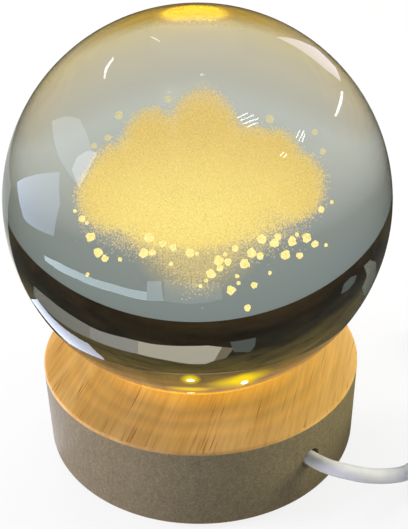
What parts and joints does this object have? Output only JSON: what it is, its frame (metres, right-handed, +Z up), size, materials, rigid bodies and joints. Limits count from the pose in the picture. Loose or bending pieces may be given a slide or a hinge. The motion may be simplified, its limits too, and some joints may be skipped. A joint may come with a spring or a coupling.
{
  "type": "crystal ball lamp",
  "caption": "Clear glass ball with a small engraved cloud, lit from below by LEDs in a round wooden base with a lead, a rocker switch and a plug.",
  "frame": {"origin": "on the table, under the middle of the ball and the base", "axes": "+Z up; -Y is the front, from which the lead's hole lies at the right"},
  "size_m": [0.168, 0.0858, 0.0985],
  "materials": {
    "ball_glass": "polished clear crystal",
    "base_wood": "satin oil",
    "pad_foam": "matt",
    "cup_plastic": "satin white",
    "cover_plastic": "fine matt",
    "board_lacquer": "satin white",
    "led_lens": "warm, lit",
    "resistor_ceramic": "matt",
    "screw_steel": "zinc plated",
    "plug_steel": "nickel plated",
    "contact_brass": "bright",
    "tie_nylon": "satin",
    "wire_red_pvc": "satin",
    "wire_black_pvc": "satin",
    "cord_pvc": "glossy white",
    "plug_pvc": "satin white",
    "switch_plastic": "satin white",
    "tongue_plastic": "white"
  },
  "bodies": {
    "lamp": {"base_block": "base_wood", "base_pad": "pad_foam", "led_cup": "cup_plastic", "bottom_cover": "cover_plastic", "led_board": "board_lacquer", "led_1": "led_lens", "led_2": "led_lens", "led_3": "led_lens", "led_4": "led_lens", "led_5": "led_lens", "board_resistor_1": "resistor_ceramic", "board_resistor_2": "resistor_ceramic", "cover_screw_1": "screw_steel", "cover_screw_2": "screw_steel", "cover_screw_3": "screw_steel", "cup_screw_1": "screw_steel", "cup_screw_2": "screw_steel", "cup_screw_3": "screw_steel", "switch_screw_1": "screw_steel", "switch_screw_2": "screw_steel", "plug_shell": "plug_steel", "switch_contact_fixed": "contact_brass", "switch_contact_spring": "contact_brass", "plug_contact_1": "contact_brass", "plug_contact_2": "contact_brass", "plug_contact_3": "contact_brass", "plug_contact_4": "contact_brass", "inner_tie": "tie_nylon", "coil_tie": "tie_nylon", "wire_red": "wire_red_pvc", "switch_red_wire_near": "wire_red_pvc", "switch_red_wire_far": "wire_red_pvc", "wire_black": "wire_black_pvc", "switch_black_wire": "wire_black_pvc", "cord_run": "cord_pvc", "cord_coil": "cord_pvc", "cord_tail": "cord_pvc", "cord_lead": "cord_pvc", "plug_overmould": "plug_pvc", "switch_lower_shell": "switch_plastic", "switch_upper_shell": "switch_plastic", "plug_tongue": "tongue_plastic"},
    "ball": {"crystal_ball": "ball_glass"},
    "rocker": {"switch_rocker": "switch_plastic"}
  },
  "joints": [
    {"name": "ball_lift", "type": "slide", "parent": "lamp", "child": "ball", "axis": [0, 0, 1], "range_m": [0, 0.05]},
    {"name": "switch_rock", "type": "hinge", "parent": "lamp", "child": "rocker", "pos_m": [0.093, 0.0177, 0.0083], "axis": [0, -1, 0], "range_deg": [0, 16]}
  ]
}
